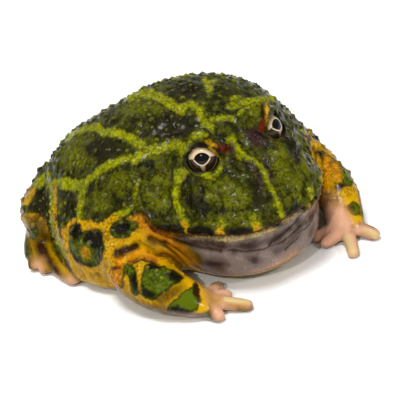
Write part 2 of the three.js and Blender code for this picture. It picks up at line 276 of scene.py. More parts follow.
PATCHES = {
    "leaf": {
        "behind the cheek": "108,180 118,173 130,172 136,176 130,188 122,194 112,190",
        "low on the flank": "90,204 98,193 107,196 112,206 104,213 94,213",
        "cheek": "150,182 158,173 170,172 174,182 172,200 168,214 154,212 146,200",
        "above the lip":
            "168,218 190,222 212,218 234,213 250,212 262,222 256,227 236,226 212,226 190,227 172,224",
        "face": "205,184 220,178 240,182 252,192 250,206 236,210 218,208 206,200",
        "snout": "270,152 282,150 290,162 292,178 286,196 280,198 276,182 270,166",
        "far cheek": "292,168 300,165 305,180 303,192 296,205 290,198",
        "nape": "190,106 198,104 206,112 214,119 204,122 198,113",
        "near brow": "188,149 190,142 195,137 201,134 204,137 203,141 196,141 192,143 191,148",
        "far brow": "240,120 245,113 252,109 260,105 262,110 262,118 256,124 246,128",
        "back": "120,112 134,104 150,102 160,108 160,116 146,116 130,120",
        "behind the neck": "136,150 150,147 178,144 182,152 160,157 140,160",
        "rump": "62,150 76,140 92,138 104,146 96,160 78,168 62,168",
    },
    "dark": {
        "shoulder": "150,122 166,114 184,118 196,128 188,140 166,141 148,136",
        "nape": "168,90 184,82 200,84 204,92 196,100 178,99",
        "back": "84,146 98,138 112,140 126,146 134,152 118,158 102,160 88,156",
        "flank": "66,196 76,194 78,204 74,216 66,214",
        "low flank": "90,214 104,212 118,208 124,206 112,214 98,219",
        "hind leg": "30,205 38,190 46,184 48,210 44,216 30,214",
        "cheek": "186,196 198,192 206,200 204,212 192,212 186,206",
        "snout": "254,182 262,188 266,198 262,210 254,206 252,194",
        "far side": "282,140 292,134 302,146 306,160 300,164 290,154",
    },
    "lime": {
        "rump": "58,179 66,177 76,180 82,182 80,190 70,191 60,189",
        "nape": "203,82 217,81 212,89 212,93 206,92",
        "between the eyes": "202,126 208,124 214,127 214,131 208,131",
        "hind leg": "33,187 38,179 47,173 50,179 41,188",
    },
    "gold": {
        "flank and arm":
            "63,229 70,220 78,218 82,221 90,219 96,223 106,222 111,216 116,214 124,222 131,215 136,216 "
            "146,217 152,226 160,233 172,243 185,256 196,272 200,285 212,296 214,308 200,314 186,313 "
            "160,316 140,309 118,292 113,286 100,290 86,285 75,276 66,258 62,243",
        "far arm":
            "309,140 316,141 324,148 334,150 344,160 354,172 358,190 361,210 363,222 356,228 349,222 "
            "344,214 318,212 313,205 311,190 313,165",
        "hind leg":
            "24,214 38,213 46,222 50,236 52,250 60,262 72,274 78,284 66,288 50,272 36,262 30,240 24,226",
        "near brow": "206,139 210,141 214,144 217,147 214,149 210,148 207,144",
    },
    "ring": {
        "arm":
            "145,267 152,261 160,262 166,266 173,270 181,274 184,279 179,283 171,287 163,293 158,299 "
            "150,301 143,297 141,286 141,275",
        "wrist": "170,303 177,297 185,291 191,286 196,279 199,288 200,298 198,310 188,315 176,314 166,310",
        "elbow": "126,265 131,263 136,269 137,282 139,293 134,297 130,290 129,280 126,273",
        "shoulder": "121,276 123,267 127,263 129,270 124,276 124,288 121,290 118,284",
        "flank":
            "70,226 76,221 80,224 82,233 86,229 92,232 98,228 103,232 102,240 105,247 104,257 99,264 "
            "92,268 84,266 76,262 71,254 69,243",
        "behind the mouth":
            "110,232 112,224 120,219 128,220 136,222 140,228 132,232 128,238 118,239 112,237",
        "far arm":
            "317,150 323,149 331,155 340,161 348,168 355,176 353,186 345,187 340,180 334,171 328,163 "
            "320,157",
        "far wrist": "347,204 353,201 360,205 362,216 352,214 346,211",
        "hind leg": "29,230 36,227 39,233 34,239 29,238",
    },
    "speck": {
        "arm underside":
            "116,286 124,296 136,303 150,308 168,311 186,315 200,316 200,320 160,320 136,313 114,296",
        "behind the elbow": "117,262 121,266 120,276 117,280 114,272",
        "brown behind the arm": "114,250 124,246 134,244 136,248 126,252 120,260 115,262",
        "hind foot": "36,242 44,240 48,252 52,262 62,276 56,276 46,262 38,254",
        "wrist shade": "208,304 214,302 216,312 210,314",
    },
    "slate": {
        "throat":
            "178,238 200,238 226,240 252,237 276,229 292,218 306,202 314,184 318,200 316,220 302,246 "
            "280,264 250,280 222,282 200,280 198,270 204,258 192,248",
        "arm underside": "130,301 150,309 180,314 206,314 206,320 160,320 130,308",
    },
    "mauve": {
        "behind": "172,238 186,240 198,240 206,246 196,248 182,244",
        "middle": "200,239 212,239 226,242 230,249 220,251 208,247",
        "ahead": "234,243 244,240 258,240 260,249 250,254 240,250",
        "spot": "229,250 235,249 237,253 232,255",
        "low": "200,262 210,259 224,260 228,265 222,270 208,268",
        "low ahead": "246,256 256,254 262,260 256,265 249,262",
        "far": "296,222 304,212 311,206 312,216 304,228 296,234",
        "farther": "266,240 280,232 288,232 280,242 268,248",
    },
    "pink": {
        "near hand": "214,306 222,304 234,308 236,322 214,322",
        "near inner fingers": "208,288 216,286 236,290 234,298 222,296",
        "far hand": "316,208 330,205 344,210 352,222 352,240 340,246 312,250",
        "far outer finger": "350,228 362,224 384,230 386,244 356,240",
        "far middle finger": "342,232 356,230 364,262 346,264",
    },
    "tan": {
        "far hand": "317,192 332,192 345,203 351,215 352,230 340,234 322,232 312,226 314,205",
        "near hand": "203,284 214,288 228,296 250,296 250,310 228,309 214,314 208,306",
        "hind toes": "32,258 44,258 48,278 32,278",
        "hind long toe": "62,276 70,274 82,284 80,292 64,290",
    },
    "plum": {
        "far brow": "246,130 256,127 262,131 268,134 270,142 264,149 252,147 247,139",
    },
    "bronze": {
        "arm": "163,290 172,286 182,282 188,287 180,295 170,302 160,304 156,300",
        "low arm": "122,290 134,298 150,304 166,305 168,312 150,310 130,302",
        "hind leg": "26,216 40,214 50,236 52,252 62,270 76,282 66,288 48,272 36,262 28,240",
        "far arm": "314,190 326,190 342,200 340,212 318,212",
    },
    "soot": {
        "lip behind": "156,226 168,222 181,224 187,232 176,234 162,232",
        "lip middle": "190,227 200,225 214,226 216,235 200,235 191,233",
        "lip ahead": "227,229 238,227 251,228 250,235 238,236 228,236",
        "lip end": "260,232 268,225 277,219 283,220 276,230 266,234",
        "far lip": "284,213 291,205 300,203 304,208 297,215 287,220",
        "flank top": "71,228 76,222 80,224 82,234 78,240 71,240",
        "flank ahead": "83,235 90,230 100,232 104,244 103,256 98,262 96,250 88,246 83,242",
        "flank low": "72,252 78,256 84,262 94,264 90,268 80,264 73,258",
        "behind the mouth": "112,228 120,222 132,224 128,234 116,236",
        # The arm band is dark skin with painted shadow of the armpit fold above the arm
        "arm band and armpit shadow": "131,263 137,256 147,253 157,256 159,261 148,260 138,262",
        "elbow": "130,272 136,274 138,290 134,294 131,286",
        "arm top": "148,264 156,262 163,266 158,270 150,270",
        "arm ahead": "166,270 176,272 183,277 178,284 170,280 164,274",
        "arm low": "143,286 150,290 158,294 154,299 146,297 142,292",
        "wrist": "168,309 176,306 190,310 196,312 188,315 176,314",
        "wrist ahead": "193,283 197,284 199,296 196,300 192,292",
    },
    "spot": {
        "flank": "80,249 84,246 89,248 92,253 90,258 86,259 82,255",
    },
    "amber": {
        "mouth corner":
            "136,215 146,217 156,229 172,237 184,243 192,254 202,266 196,268 180,254 158,240 142,228",
    },
    "smooth": {
        "folds": "128,238 144,226 160,234 204,242 216,262 204,286 182,276 150,258 120,262 116,250",
        "throat": "178,240 226,242 276,232 306,204 316,186 322,220 300,262 240,284 200,282",
    },
    "rust": {
        "near brow": "217,145 222,146 226,149.5 227,152 224,154 220,151 217,148",
        "far brow": "259.5,126 262,120 265,117 267.5,121 267.5,131 261,131",
    },
    # Painted shade under the overhanging horned lids, above each eyeball
    "lid shade": {
        "near": "191,148 192,143 196,141 203,141 206,144 209,148 204,147 196,147",
        "near ahead": "210,147 214,146.5 219,150 222,155 219,158 216,153 213,150",
        "far": "261,107 263,105 264,112 263.5,117 261,119 260,112",
    },
}

# Folds: depth and half width in millimetres, then the pixels they run through. A depth below 0 is a ridge

FOLDS = {
    "behind the head": (0.9, 0.9, "152,165 145,170 140,179 136,190 134,204"),
    "armpit": (1.8, 1.0, "128,261 136,257 145,256 153,258 160,261"),
    "below the mouth corner": (0.9, 0.6, "146,222 154,231 166,238 182,244 200,249 220,252"),
    "long arm fold": (1.1, 0.7, "150,238 164,247 176,258 187,270 197,279"),
    "short arm fold": (0.9, 0.7, "150,250 164,254 176,263 186,273"),
    "flank fold": (0.8, 0.8, "66,252 74,266 82,277"),
    "throat fold": (0.6, 0.6, "228,251 246,253 264,250 284,242 298,230 309,212"),
    "far throat fold": (0.6, 0.5, "286,250 298,239 307,226 313,212"),
    "far throat edge": (0.6, 0.5, "270,245 286,234 297,222 306,210"),
    "far head rim": (0.5, 0.6, "296,124 304,138 308,152 309,168 309,184"),
    "far head fold": (0.4, 0.6, "286,128 296,142 302,156"),
    "far armpit": (1.0, 0.8, "314,146 317,160 318,178 316,196"),
    "far arm fold": (0.7, 0.7, "321,152 323,166 322,180 319,192"),
    "beside the middle": (0.5, 0.8, "244,160 252,168 258,180 262,194"),
    "far beside the middle": (0.4, 0.7, "262,153 268,166 274,182"),
    "under the near eye": (0.5, 0.6, "186,170 194,178 206,180 218,176 226,166"),
    "behind the near eye": (0.4, 0.7, "183,156 172,160 160,161 148,164"),
    "brow to brow": (-0.4, 1.4, "212,132 222,126 236,122 246,114"),
    "cheek crease": (0.7, 0.6, "172,176 168,190 170,204 176,214"),
    "cheek crease ahead": (0.6, 0.6, "192,184 186,196 190,208 200,214"),
    "face crease": (0.25, 0.6, "206,188 216,196 228,196 238,188"),
    "face crease below": (0.2, 0.6, "204,210 220,211 236,211 250,208"),
    "face wrinkle": (0.5, 0.5, "185,177 188,189 186,203 192,214"),
    "face wrinkle second": (0.5, 0.5, "199,181 203,193 199,206 204,217"),
    "face wrinkle third": (0.5, 0.5, "221,180 218,192 223,204 221,216"),
    "face wrinkle fourth": (0.5, 0.5, "239,178 244,190 240,203 244,214"),
    "face wrinkle fifth": (0.4, 0.5, "161,184 158,195 163,206 160,215"),
    "near brow edge": (-0.8, 0.5, "188,149 190,142 195,137 201,134 208,138 217,142 226,149"),
    "under the near brow": (0.5, 0.5, "192,146 198,143 205,144 211,147 218,152"),
    "far brow edge": (-0.8, 0.5, "240,118 245,112 252,108 262,102 265,110 268,119"),
    "under the far brow": (0.5, 0.6, "262,108 262,116 257,122"),
    "arm fold behind": (0.7, 0.6, "140,240 156,249 170,260 182,272"),
    "arm fold ahead": (0.7, 0.6, "164,243 178,252 192,264 204,276"),
    "above the lip": (-0.5, 1.0, "150,218 162,223 180,226 204,228 226,228 246,226 264,221 278,213"),
}

# Where the eyeball shows between the near lids
EYE_OPENING = pixel_list(
    "190,153 194,149.5 199,148 204,148 209,150 214,153.5 217,158 217,163 213.5,168 208,171 203,172 "
    "197,171 192.5,168 189.5,163 189,158"
)

# The line where the lips meet, from the near corner to the tip of the snout
MOUTH = pixel_list(
    "143,213 147,221 155,229 166,233.5 182,235 202,236 224,236 242,235 257,232 271,227 285,219"
)
MOUTH_STEPS = 12  # between two of its pixels
FAR_LIFT = 1.3 * MM  # the far half of the mouth runs this much higher
FAR_LIFT_FULL = 8 * MM  # this far from the middle


def linear(hex_colour):
    """A colour as seen, in light."""
    parts = [int(hex_colour[i : i + 2], 16) / 255 for i in (1, 3, 5)]
    return [p / 12.92 if p <= 0.04045 else ((p + 0.055) / 1.055) ** 2.4 for p in parts]


def smooth_step(low, high, values):
    t = np.clip((values - low) / (high - low), 0, 1)
    return t * t * (3 - 2 * t)


def added(name, data):
    """A new object, in the scene."""
    made = bpy.data.objects.new(name, data)
    bpy.context.scene.collection.objects.link(made)
    return made


def mesh_of(bm, name):
    mesh = bpy.data.meshes.new(name)
    bm.to_mesh(mesh)
    bm.free()
    return mesh


def modified(thing):
    """The mesh that an object's modifiers make of it. The object goes."""
    mesh = bpy.data.meshes.new_from_object(thing.evaluated_get(bpy.context.evaluated_depsgraph_get()))
    bpy.data.objects.remove(thing)
    return mesh


def nearest_in(places):
    """A tree that finds the nearest of some places."""
    tree = KDTree(len(places))
    for i, place in enumerate(places):
        tree.insert(place, i)
    tree.balance()
    return tree


# Where the camera sees the frog

def camera_axes():
    flat = cos(CAMERA_RISE)
    back = Vector((sin(CAMERA_TURN) * flat, -cos(CAMERA_TURN) * flat, sin(CAMERA_RISE)))
    level = Vector((cos(CAMERA_TURN), sin(CAMERA_TURN), 0))
    upright = back.cross(level)
    right = cos(CAMERA_ROLL) * level + sin(CAMERA_ROLL) * upright
    up = cos(CAMERA_ROLL) * upright - sin(CAMERA_ROLL) * level
    return right, up, back


RIGHT, UP, BACK = camera_axes()
LENS_AT = AIM + CAMERA_DISTANCE * BACK


def add_camera():
    data = bpy.data.cameras.new("Camera")
    data.sensor_width = SENSOR_MM
    data.lens = FOCAL_PIXELS / PHOTO_PIXELS * SENSOR_MM
    data.shift_x = (PHOTO_PIXELS / 2 - AIM_PIXEL[0]) / PHOTO_PIXELS
    data.shift_y = (AIM_PIXEL[1] - PHOTO_PIXELS / 2) / PHOTO_PIXELS
    data.clip_start = CLIP_START
    camera = added("Camera", data)
    camera.matrix_world = Matrix.Translation(LENS_AT) @ Matrix((RIGHT, UP, BACK)).transposed().to_4x4()
    bpy.context.scene.camera = camera


def pixels_of(places):
    from_lens = places - np.array(LENS_AT)
    depth = -from_lens @ np.array(BACK)
    across = AIM_PIXEL[0] + FOCAL_PIXELS * (from_lens @ np.array(RIGHT)) / depth
    down = AIM_PIXEL[1] - FOCAL_PIXELS * (from_lens @ np.array(UP)) / depth
    return np.stack([across, down], 1)


def ray_through(across, down):
    way = (across - AIM_PIXEL[0]) / FOCAL_PIXELS * RIGHT - (down - AIM_PIXEL[1]) / FOCAL_PIXELS * UP - BACK
    return way.normalized()


# Skin

LEAST_SEEN, WELL_SEEN = 0.02, 0.18  # how squarely the skin faces the camera: from, and more by
HEAD_LEAST = 0.14  # more than that on the head
RAY_LIFT = 0.5 * MM  # where rays towards the camera start above the skin


def swollen_copy(name):
    bm = bmesh.new()
    bm.from_mesh(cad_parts[name].data)
    bmesh.ops.remove_doubles(bm, verts=bm.verts, dist=WELD)
    bm.normal_update()
    for v in bm.verts:
        v.co += v.normal * SEAM
    return mesh_of(bm, "swollen")


def one_mesh(names):
    """The solids of flesh as one closed skin of even, small faces."""
    together = bmesh.new()
    for name in names:
        together.from_mesh(swollen_copy(name))
    rough = added("flesh", mesh_of(together, "flesh"))
    remesh = rough.modifiers.new("one skin", "REMESH")
    remesh.mode = "VOXEL"
    remesh.voxel_size = SKIN_GRAIN
    skin = modified(rough)
    bm = bmesh.new()
    bm.from_mesh(skin)
    reach = EYE_RADIUS + FINE_REACH
    fine = {v for v in bm.verts if min((v.co - eye).length for eye in EYES.values()) < reach}
    edges = [e for e in bm.edges if fine.issuperset(e.verts)]
    bmesh.ops.subdivide_edges(bm, edges=edges, cuts=1, use_grid_fill=True)
    bm.to_mesh(skin)
    bm.free()
    return skin


def thinned(mesh, triangles):
    """The mesh with fewer faces where it is smooth."""
    full = sum(len(face.vertices) - 2 for face in mesh.polygons)
    dense = added("dense", mesh)
    thin = dense.modifiers.new("fewer faces", "DECIMATE")
    thin.ratio = triangles / full
    return modified(dense)


class Skin:
    """The skin's points as arrays, so that they can be smoothed, raised and painted together."""

    def __init__(self, mesh):
        self.mesh = mesh
        count = len(mesh.vertices)
        self.at = np.empty(count * 3)
        mesh.vertices.foreach_get("co", self.at)
        self.at = self.at.reshape(-1, 3)
        edges = np.empty(len(mesh.edges) * 2, int)
        mesh.edges.foreach_get("vertices", edges)
        self.edges = edges.reshape(-1, 2)
        self.neighbours = np.bincount(edges, minlength=count)
        self.settle()

    def settle(self):
        """Puts the points back in the mesh and works out which way they face."""
        self.mesh.vertices.foreach_set("co", self.at.ravel())
        self.mesh.update()
        out = np.empty(self.at.size)
        self.mesh.vertices.foreach_get("normal", out)
        self.out = out.reshape(-1, 3)

    def around(self, values):
        """The mean of each point's neighbours."""
        a, b = self.edges.T
        count = len(self.at)
        if values.ndim == 1:
            return (np.bincount(a, values[b], count) + np.bincount(b, values[a], count)) / self.neighbours
        return np.stack([self.around(v) for v in values.T], 1)

    def soften(self, values, times):
        for _ in range(times):
            values = 0.5 * values + 0.5 * self.around(values)
        return values

    def relax(self, times, share=0.5):
        share = np.broadcast_to(share, len(self.at))[:, None]
        for _ in range(times):
            self.at += share * (self.around(self.at) - self.at)
        self.settle()

    def raise_by(self, height):
        self.at += self.out * np.broadcast_to(height, len(self.at))[:, None]
        self.settle()

    def closeness(self, names, reach):
        """1 on the skin of the named solids, falling to 0 at a distance from them."""
        together = bmesh.new()
        for name in names:
            together.from_mesh(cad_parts[name].data)
        tree = BVHTree.FromBMesh(together)
        together.free()
        far = np.array([tree.find_nearest(Vector(p))[3] for p in self.at])
        return np.clip(1 - far / reach, 0, 1)

    def seen(self, least):
        """1 where the camera sees the skin well, falling to 0 at the least slant and where it is hidden."""
        tree = self.tree()
        to_lens = np.array(LENS_AT) - self.at
        to_lens /= np.linalg.norm(to_lens, axis=1)[:, None]
        facing = smooth_step(least, least + WELL_SEEN, (to_lens * self.out).sum(1))
        for i in np.nonzero(facing)[0]:
            start = Vector(self.at[i] + self.out[i] * RAY_LIFT)
            if tree.ray_cast(start, Vector(to_lens[i]))[0]:
                facing[i] = 0
        return self.soften(facing, 2)

    def widest(self, values):
        """The greatest value of each point and its neighbours."""
        most = values.copy()
        a, b = self.edges.T
        np.maximum.at(most, a, values[b])
        np.maximum.at(most, b, values[a])
        return most

    def tree(self):
        faces = [tuple(face.vertices) for face in self.mesh.polygons]
        return BVHTree.FromPolygons([Vector(p) for p in self.at], faces)

    def hollows(self):
        """How far each point lies below its neighbours, for its spacing. Bumps are below 0."""
        return ((self.around(self.at) - self.at) * self.out).sum(1) / SKIN_GRAIN

    def keep(self, name, values):
        """Stores a value at each point, for the materials."""
        layer = self.mesh.attributes.new(name, "FLOAT", "POINT")
        layer.data.foreach_set("value", values.astype(np.float32))

    def mirror(self):
        """For each point, the one nearest to its mirror image."""
        tree = nearest_in(self.at)
        return np.array([tree.find((-p[0], p[1], p[2]))[1] for p in self.at])


def line_distance(pixels, line):
    """How far each pixel is from a line through others."""
    far = np.full(len(pixels), np.inf)
    line = np.array(line, float)
    for a, b in zip(line[:-1], line[1:]):
        along = np.clip((pixels - a) @ (b - a) / ((b - a) @ (b - a)), 0, 1)
        far = np.minimum(far, np.linalg.norm(pixels - a - along[:, None] * (b - a), axis=1))
    return far


def depth_in_patch(pixels, outline):
    """How deep each pixel is inside an outline, below 0 outside."""
    edge = line_distance(pixels, outline + outline[:1])
    inside = np.zeros(len(pixels), bool)
    corners = np.array(outline, float)
    across, down = pixels.T
    for (ax, ay), (bx, by) in zip(corners, np.roll(corners, -1, 0)):
        if ay == by:
            continue
        spans = (ay > down) != (by > down)
        inside ^= spans & (across < ax + (down - ay) / (by - ay) * (bx - ax))
    return np.where(inside, edge, -edge)


PAINT_REACH = 8  # pixels beyond a mark's edge that its paint is worked out for
PAW_WRAP = 12  # rings of points
FAR_EDGE, EDGE_FADE = 301, 3  # pixels across: past this the head takes the near side's marks


def spread(marks, empty):
    """Marks made where the camera sees the skin, mirrored to where it doesn't. `empty` is what stays bare."""
    mirrored = twin_seen * marks[twin] + (1 - twin_seen) * empty
    return seen * marks + (1 - seen) * mirrored


def painted(name):
    depth = np.full(len(pixels), -float(PAINT_REACH))
    for half, line in LINES.get(name, {}).values():
        depth = np.maximum(depth, half - line_distance(pixels, pixel_list(line)))
    for outline in PATCHES.get(name, {}).values():
        depth = np.maximum(depth, depth_in_patch(pixels, pixel_list(outline)))
    return depth * PIXEL / MM


def ridge(far, height, middle, half):
    """A rounded ridge at a distance from something."""
    return height * np.exp(-(((far - middle) / half) ** 2))


def folded():
    height = np.zeros(len(pixels))
    for depth, half, line in FOLDS.values():
        far = line_distance(pixels, pixel_list(line)) * PIXEL / MM
        height -= ridge(far, depth, 0, half)
    return height * MM


def above(low, high):
    """0 on the skin below one height in millimetres and 1 above another."""
    return smooth_step(low * MM, high * MM, skin.at[:, 2])


def noises(scale, octaves=3):
    return np.array([noise.fractal(Vector(p) / scale, 1.0, 2.0, octaves) for p in skin.at])


def cell_edges(scale):
    """0 on the edges between cells of about that size, rising towards their middles."""
    apart = (noise.voronoi(Vector(p) / scale)[0] for p in skin.at)
    return np.array([d[1] - d[0] for d in apart])


def mouth_curve():
    """The line between the lips as places on the skin, all the way round."""
    tree = skin.tree()
    near = []
    for (ax, ay), (bx, by) in zip(MOUTH[:-1], MOUTH[1:]):
        for share in (step / MOUTH_STEPS for step in range(MOUTH_STEPS)):
            way = ray_through(ax + share * (bx - ax), ay + share * (by - ay))
            hit = tree.ray_cast(LENS_AT, way)[0]
            if hit and hit.x < 0:
                near.append(np.array(hit))
    near = np.array(near)
    far = near[::-1] * (-1, 1, 1)
    far[:, 2] += FAR_LIFT * smooth_step(0, FAR_LIFT_FULL, far[:, 0])
    return np.concatenate([near, far])


def from_curve(curve):
    """Each point's distance from a curve and its height above it."""
    tree = nearest_in(curve)
    found = [tree.find(p) for p in skin.at]
    above = np.array([p[2] - f[0].z for p, f in zip(skin.at, found)])
    return np.array([f[2] for f in found]), above


def opening():
    """The ways from the right eyeball's centre to the edge of what shows of it."""
    ball = EYES["right"]
    ways = []
    for across, down in EYE_OPENING:
        far_away = LENS_AT + 2 * CAMERA_DISTANCE * ray_through(across, down)
        hits = geometry.intersect_line_sphere(LENS_AT, far_away, ball, EYE_RADIUS + LID_RISE)
        hit = min(hits, key=lambda hit: (hit - LENS_AT).length)
        ways.append(np.array((hit - ball).normalized()))
    return np.array(ways)


class Round:
    """Places round an eyeball by their angle from its opening's middle and their bearing."""

    def __init__(self, ways):
        self.axis = ways.mean(0) / np.linalg.norm(ways.mean(0))
        self.up = np.cross(self.axis, np.cross((0, 0, 1), self.axis))
        self.up /= np.linalg.norm(self.up)
        self.aside = np.cross(self.up, self.axis)

    def angles(self, ways):
        return np.arccos(np.clip(ways @ self.axis, -1, 1)), np.arctan2(ways @ self.aside, ways @ self.up)

    def ways(self, angle, bearing):
        out = np.cos(bearing)[:, None] * self.up + np.sin(bearing)[:, None] * self.aside
        return np.cos(angle)[:, None] * self.axis + np.sin(angle)[:, None] * out


def inwards(ways, side):
    """1 on an eye's inner and upper side, 0 on the rest."""
    return smooth_step(-0.3, 0.1, -ways[:, 0] * side) * smooth_step(-0.3, 0.2, ways[:, 2])


EDGE_SKIN = 1.2 * MM  # the skin that ends at the eyeball lies within this of it
SECTORS, SECTOR_REACH = 36, pi / 24  # in which its edge is looked for, and how far to each side
WIDEST = 1.6  # radians from the opening's middle, where no edge is found
LID_PULL = 0.55  # radians past the edge that the skin follows it
LID_FULL, RIM_FULL = 0.8 * MM, 1 * MM  # what lies nearer the eyeball is moved or raised in full
LID_FOOT = 0.3 * MM  # from the eyeball to the lids' edge
LID_SLOPE, STEEPER = 0.7, 3  # how the lids rise from it, and how much more steeply above the eye
RIM_MIDDLE, RIM_HALF = 0.6 * MM, 0.7 * MM  # from the lids' edge
RIM_POINTS = 80
RIM_REACH = 3 * EYE_RADIUS  # from the eyeball's middle
INNER_RIM_THINNER = 2  # on the eye's inner side the dark rim's width is divided by this plus 1


def edge_now(angle, bearing, turns):
    """The angle at which the skin round an eyeball ends, at each turn."""
    found = []
    for turn in turns:
        beside = abs((bearing - turn + pi) % (2 * pi) - pi) < SECTOR_REACH
        found.append(np.min(angle[beside], initial=WIDEST))
    found = np.array(found)
    return (found + np.roll(found, 1) + np.roll(found, -1)) / 3


def shape_lids(eye, edge):
    """Draws the lids' edge to where it should be and raises it to a rim. Returns the rim's places."""
    lens = Round(edge)
    angle, bearing = lens.angles(edge)
    if eye[0] > 0:
        angle = angle + FAR_EYE_WIDER * (inwards(edge, 1) - smooth_step(0, 0.5, -edge[:, 2]))
    order = np.argsort(bearing)
    wanted = (bearing[order], angle[order])
    away = skin.at - eye
    far = np.linalg.norm(away, axis=1)
    near = np.nonzero(far < EYE_RADIUS + LID_SKIN)[0]
    away, far = away[near] / far[near, None], far[near]
    angle, bearing = lens.angles(away)
    on_edge = far < EYE_RADIUS + EDGE_SKIN
    turns = np.linspace(-pi, pi, SECTORS + 1)[:-1] + pi / SECTORS
    now = np.interp(bearing, turns, edge_now(angle[on_edge], bearing[on_edge], turns), period=2 * pi)
    then = np.interp(bearing, *wanted, period=2 * pi)
    fade = 1 - smooth_step(EYE_RADIUS + LID_FULL, EYE_RADIUS + LID_SKIN, far)
    angle = angle + (then - now) * ridge(np.maximum(angle - now, 0), 1, 0, LID_PULL) * fade
    beyond = (angle - then) * EYE_RADIUS
    slope = LID_SLOPE + STEEPER * smooth_step(-0.2, 0.6, np.cos(bearing))
    low = np.minimum(far, EYE_RADIUS + LID_FOOT + slope * np.maximum(beyond, 0))
    outside = np.maximum(far + (low - far) * fade, EYE_RADIUS + LID_GAP)
    close = 1 - smooth_step(EYE_RADIUS + RIM_FULL, EYE_RADIUS + LID_SKIN, far)
    rim = ridge(beyond, 1, RIM_MIDDLE, RIM_HALF) * close
    skin.at[near] = eye + lens.ways(angle, bearing) * (outside + LID_RISE * rim)[:, None]
    bearings = np.linspace(-pi, pi, RIM_POINTS)
    angles = np.interp(bearings, *wanted, period=2 * pi)
    return eye + lens.ways(angles, bearings) * (EYE_RADIUS + LID_FOOT)


add_camera()
skin = Skin(one_mesh(FLESH))
on_paws = skin.soften(skin.closeness(PAWS, PART_FADE), FADE_ROUNDS)
on_limbs = skin.soften(skin.closeness(ARMS + LEGS, PART_FADE), FADE_ROUNDS)
on_head = skin.soften(skin.closeness(HEAD, PART_FADE), FADE_ROUNDS)
on_lids = skin.soften(skin.closeness(LIDS, LID_FADE), LID_FADE_ROUNDS)
stiff = np.maximum(PAWS_STIFF * on_paws, np.maximum(LIMBS_STIFF * on_limbs, LIDS_STIFF * on_lids))
skin.relax(RELAX_TIMES, RELAX_SHARE * (1 - stiff))
seen = skin.seen(LEAST_SEEN + HEAD_LEAST * on_head * (1 - on_lids))
for _ in range(PAW_WRAP):  # what is painted on a paw goes round its digits
    seen = np.maximum(seen, on_paws * skin.widest(seen))
pixels = pixels_of(skin.at)
turned = smooth_step(FAR_EDGE - EDGE_FADE, FAR_EDGE + EDGE_FADE, pixels[:, 0])
seen = seen * (1 - on_head * (1 - on_limbs) * turned)
twin = skin.mirror()
twin_seen = seen[twin]

# Folds and lips

left_eye, right_eye = (np.array(eye) for eye in EYES.values())
from_eyes = np.minimum(*(np.linalg.norm(skin.at - eye, axis=1) for eye in (left_eye, right_eye)))
off_eyes = smooth_step(EYE_RADIUS + EYE_NEAR, EYE_RADIUS + EYE_CLEAR, from_eyes)

lip_far, lip_above = from_curve(mouth_curve())
lip_far, lip_above = lip_far / MM, lip_above / MM
crease = ridge(lip_far, *LIP_CREASE)
upper_lip = ridge(lip_far, *UPPER_LIP) * smooth_step(*LIP_BLEND, lip_above)
lower_lip = ridge(lip_far, *LOWER_LIP) * smooth_step(*LIP_BLEND, -lip_above)
folds = spread(folded(), 0)
skin.raise_by((crease + upper_lip + lower_lip) * MM)
skin.raise_by(folds)
skin.relax(*LIP_RELAX)

off_lips = smooth_step(*LIP_CLEAR, lip_far)
face = on_head * (1 - on_limbs) * off_lips * off_eyes * above(*FACE_FROM)
front = smooth_step(*SNOUT_FROM, skin.at[:, 1])
swell = noises(SWELLING_SIZE, 2)
above_belly = above(*SWELLING_FROM)
skin.raise_by((1 - on_paws) * off_eyes * SWELLING * MM * swell * above_belly)
skin.raise_by(off_eyes * (1 - on_lids) * TOP_RISE * MM * above(*TOP_FROM))

# Lumps and warts

rng = np.random.default_rng(SEED)
tree = nearest_in(skin.at)


def scattered(share, spacing, size):
    """Cones at chance places where the share is over a third, as high at the tip as their radius."""
    cones = np.zeros(len(skin.at))
    taken = share < 1 / 3
    for i in rng.permutation(len(skin.at)):
        if taken[i]:
            continue
        reach, apart = rng.uniform(*size) * MM, rng.uniform(*spacing) * MM
        for _, j, far in tree.find_range(skin.at[i], max(reach, apart)):
            taken[j] |= far < apart
            cones[j] = max(cones[j], (1 - far / reach) * reach / MM)
    return cones * share


smooth = smooth_step(-1, 1, spread(painted("smooth"), -2))
lumps = scattered(face * (1 - smooth), LUMP_SPACING, LUMP_SIZE)
skin.raise_by(smooth_step(*LUMP_CUT, lumps) * (LUMP + SNOUT_LUMP * front) * MM)
rough = (1 - on_paws) * (1 - smooth)
grain = rough * off_eyes * above_belly * (GRAIN + FACE_GRAIN * face)
skin.raise_by(grain * MM * noises(GRAIN_SIZE, 2))
warty = rough * above(*WARTS_FROM) * off_eyes * (1 - SNOUT_BARER * face * front)
wart = scattered(warty, WART_SPACING, WART_SIZE)
skin.raise_by(wart * WART * MM)

# Lids

right_opening = opening()
rims = []
for eye, sign in ((left_eye, -1), (right_eye, 1)):
    rims.append(shape_lids(eye, right_opening * (sign, 1, 1)))
skin.at[:, 2] = np.maximum(skin.at[:, 2], 0)
skin.settle()
skin.mesh.shade_smooth()
lid_far = from_curve(np.concatenate(rims))[0] / MM
for eye, side in ((left_eye, 1), (right_eye, -1)):
    away = skin.at - eye
    far = np.linalg.norm(away, axis=1)
    inner = inwards(away / far[:, None], side) * (far < RIM_REACH)
    lid_far = lid_far * (1 + INNER_RIM_THINNER * inner)

# Markings

PATCH_SIZE, NETWORK_SIZE, BLOTCH_SIZE = 9 * MM, 17 * MM, 6 * MM
CREAM_TOP, CREAM_FADE = 3, 1.5 * MM  # the belly's cream is 3 deep at the floor, and less by 1 for each fade
NONE, BARE = -3, -2.5  # too far outside a mark for any paint
wander = noises(PATCH_SIZE)
sides = above(*SIDES_FROM)
bare = np.full(len(pixels), BARE)
